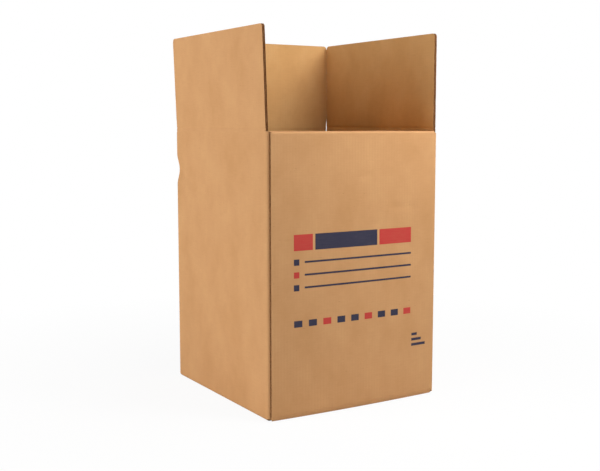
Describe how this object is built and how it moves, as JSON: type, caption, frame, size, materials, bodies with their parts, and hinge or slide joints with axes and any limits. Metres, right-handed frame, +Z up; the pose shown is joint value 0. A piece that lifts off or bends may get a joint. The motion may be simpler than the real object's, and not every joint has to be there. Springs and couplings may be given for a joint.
{
  "type": "shipping box",
  "caption": "Tall square slotted carton of double-wall board, open at the top, with hinged top flaps and a glued corner joint.",
  "frame": {"origin": "on the floor, under the middle of the carton", "axes": "+Z up, +X to the right of the front panel, +Y from the front panel to the back panel"},
  "size_m": [0.4433, 0.4615, 0.8216],
  "materials": {
    "kraft_board": "matte"
  },
  "bodies": {
    "carton": {"carton_body": "kraft_board"},
    "left_flap": {"left_flap": "kraft_board"},
    "right_flap": {"right_flap": "kraft_board"},
    "back_flap": {"back_flap": "kraft_board"},
    "front_flap": {"front_flap": "kraft_board"}
  },
  "joints": [
    {"name": "left_crease", "type": "hinge", "parent": "carton", "child": "left_flap", "pos_m": [-0.218, 0, 0.6115], "axis": [0, -1, 0], "range_deg": [-92, 173]},
    {"name": "right_crease", "type": "hinge", "parent": "carton", "child": "right_flap", "pos_m": [0.218, 0, 0.6115], "axis": [0, 1, 0], "range_deg": [-90, 175]},
    {"name": "back_crease", "type": "hinge", "parent": "carton", "child": "back_flap", "pos_m": [0, 0.228, 0.6047], "axis": [-1, 0, 0], "range_deg": [-90, 175]},
    {"name": "front_crease", "type": "hinge", "parent": "carton", "child": "front_flap", "pos_m": [0, -0.228, 0.6047], "axis": [1, 0, 0], "range_deg": [0, 265]}
  ]
}
